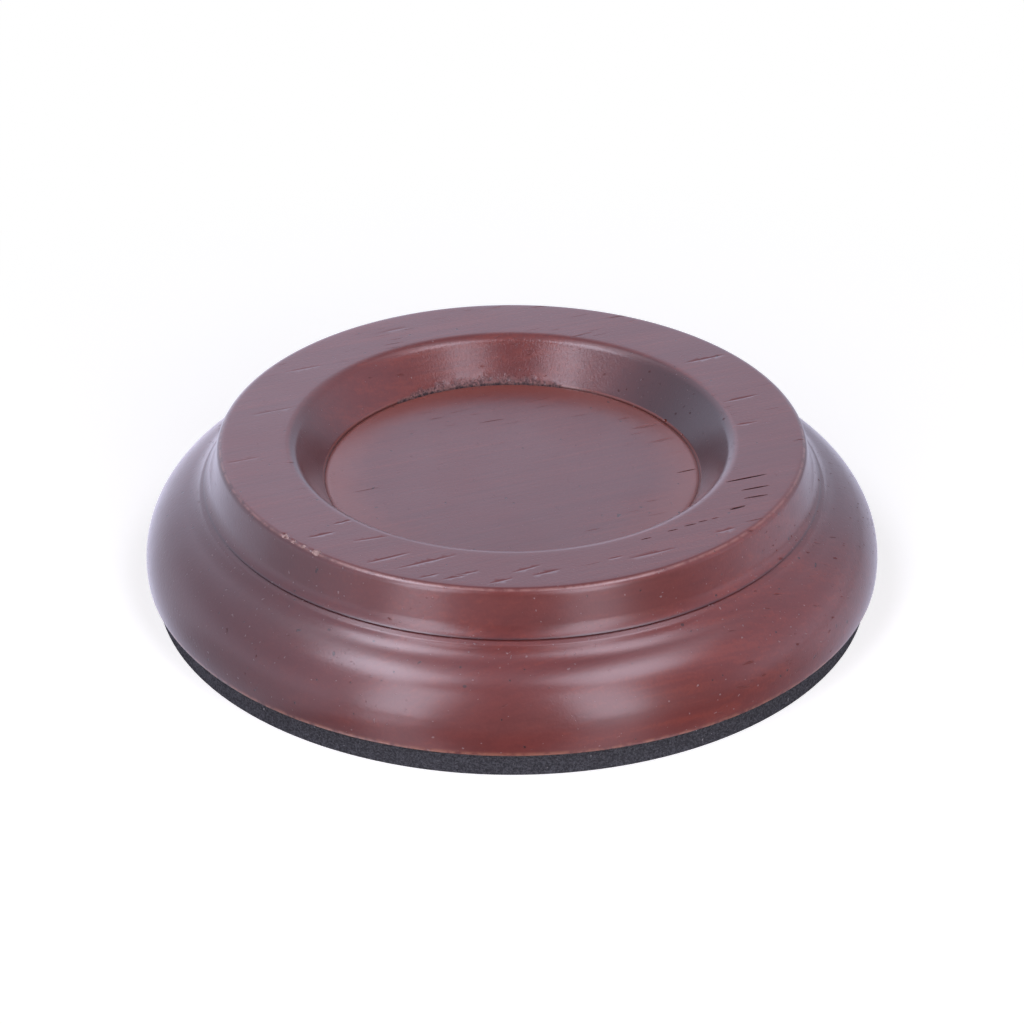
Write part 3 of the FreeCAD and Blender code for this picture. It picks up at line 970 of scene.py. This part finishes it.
low_light = product(
    tree, band(tree, up, 0.0, 0.6, 2.0, 0.12), band(tree, right, -0.8, 0.8, 0.35, 1.65)
)
fill = tint(tree, behind, FILL_NEAR, FILL_FAR)
lighting = add_node(tree, "ShaderNodeBackground", {"Color": fill, "Strength": low_light}).outputs[0]
plain = add_node(tree, "ShaderNodeBackground", {"Color": WHITE, "Strength": 1.0}).outputs[0]
ray = add_node(tree, "ShaderNodeLightPath").outputs
seen = blend(tree, ray["Is Glossy Ray"], lighting, mirrored)
straight = calc(tree, "MAXIMUM", ray["Is Camera Ray"], ray["Is Transmission Ray"])
add_node(tree, "ShaderNodeOutputWorld", {"Surface": blend(tree, straight, seen, plain)})
print("white room set")

# %% [markdown]
# ## Floor
# The floor is a wide ring, open under the foam and clear from below, so that the underside can
# be looked at. A plain white sheet would lose the cup's shadow or turn grey, so for the camera
# it is lifted towards white by a glow of its own, and it still darkens where the cup shades it.
# Reflections see it as a dull polished board near the cup, and as a pale floor farther off.

# %% Floor ring
FLOOR_REACH = 3.0
FLOOR_DROP = 0.01 * MM
FLOOR_OPENING = FOAM_RADIUS - 0.2 * MM
FLOOR_SIDES = 128
clear_selection()
below = (0.0, 0.0, -FLOOR_DROP)
bpy.ops.mesh.primitive_circle_add(vertices=FLOOR_SIDES, radius=FLOOR_OPENING, location=below)
floor = bpy.context.object
floor.name = floor.data.name = "studio_floor"
bpy.ops.object.mode_set(mode="EDIT")
bpy.ops.mesh.select_mode(type="EDGE")
bpy.ops.mesh.select_all(action="SELECT")
bpy.ops.mesh.extrude_region_move()
widen = FLOOR_REACH / FLOOR_OPENING
bpy.ops.transform.resize(value=(widen, widen, 1.0))
bpy.ops.mesh.select_all(action="SELECT")
bpy.ops.mesh.flip_normals()
bpy.ops.object.mode_set(mode="OBJECT")
print("floor ring of", len(floor.data.polygons), "faces")

# %% What the camera sees of the floor
PAPER = (0.82, 0.81, 0.76, 1.0)
PAPER_GLOW = 0.58
floor_finish = bpy.data.materials.new("white_floor")
floor_finish.use_nodes = True
tree = floor_finish.node_tree
tree.nodes.clear()
ray = add_node(tree, "ShaderNodeLightPath").outputs
place = add_node(tree, "ShaderNodeTexCoord").outputs["Object"]
away = add_node(tree, "ShaderNodeVectorMath", {0: place}, operation="LENGTH").outputs["Value"]
across, ahead, _ = add_node(tree, "ShaderNodeSeparateXYZ", {0: place}).outputs
paper = add_node(tree, "ShaderNodeBsdfDiffuse", {"Color": PAPER}).outputs[0]
lift = add_node(tree, "ShaderNodeEmission", {"Color": WHITE, "Strength": PAPER_GLOW}).outputs[0]
lifted = add_node(tree, "ShaderNodeAddShader", {0: paper, 1: lift}).outputs[0]
glow = add_node(tree, "ShaderNodeEmission", {"Color": WHITE, "Strength": 1.0}).outputs[0]
faded = blend(tree, band(tree, away, 0.065, 0.15), lifted, glow)
straight = calc(tree, "MAXIMUM", ray["Is Camera Ray"], ray["Is Transmission Ray"])
shown = blend(tree, straight, paper, faded)
print("paper floor fades to white")

# %% What reflections see of the floor
FLOOR_SHINE = (0.96, 0.96, 1.16, 1.0)
BOARD_ROUGHNESS = 0.27
near_cup = band(tree, away, 0.075, 0.22, 0.30, 0.80)
to_side = band(tree, across, -0.022, -0.045, 0.0, 0.75)
board_shine = calc(tree, "MAXIMUM", near_cup, to_side)
board_shine = calc(tree, "MAXIMUM", board_shine, band(tree, ahead, -0.06, -0.01))
polish = {"Color": board_shine, "Roughness": BOARD_ROUGHNESS}
board = add_node(tree, "ShaderNodeBsdfGlossy", polish).outputs[0]
far_shine = product(
    tree, band(tree, across, -0.35, 0.55, 0.95, 0.10), band(tree, ahead, -0.40, -0.15, 0.75, 1.0)
)
pale = {"Color": FLOOR_SHINE, "Strength": far_shine}
beyond = add_node(tree, "ShaderNodeEmission", pale).outputs[0]
shine = blend(tree, band(tree, away, 0.22, 0.40), board, beyond)
shown = blend(tree, ray["Is Glossy Ray"], shown, shine)
underneath = add_node(tree, "ShaderNodeNewGeometry").outputs["Backfacing"]
clear = add_node(tree, "ShaderNodeBsdfTransparent").outputs[0]
shown = blend(tree, product(tree, underneath, ray["Is Camera Ray"]), shown, clear)
add_node(tree, "ShaderNodeOutputMaterial", {"Surface": shown})
floor.data.materials.append(floor_finish)
print("floor staged with", len(tree.nodes), "nodes in its finish")

# %% [markdown]
# ## Camera
# The camera looks down on the cup at about a third of a right angle through a long lens, so the
# front of each circle is hardly wider than the back. It is aimed at the middle of the cup.

# %% Camera
LENS_MM = 125.0
SENSOR_MM = 36.0
STATION = Vector((29.4, -460.5, 280.9)) * MM
AIM = Vector((0.0, 0.0, 11.0)) * MM
clear_selection()
look = (AIM - STATION).to_track_quat("-Z", "Y").to_euler()
bpy.ops.object.camera_add(location=STATION, rotation=look)
camera = bpy.context.object
camera.name = camera.data.name = "studio_camera"
camera.data.sensor_width = SENSOR_MM
camera.data.lens = LENS_MM
camera.data.clip_start = 0.01
bpy.context.scene.camera = camera
bpy.context.scene.view_settings.view_transform = "Standard"
print("camera", round(STATION.length, 3), "m from the cup")
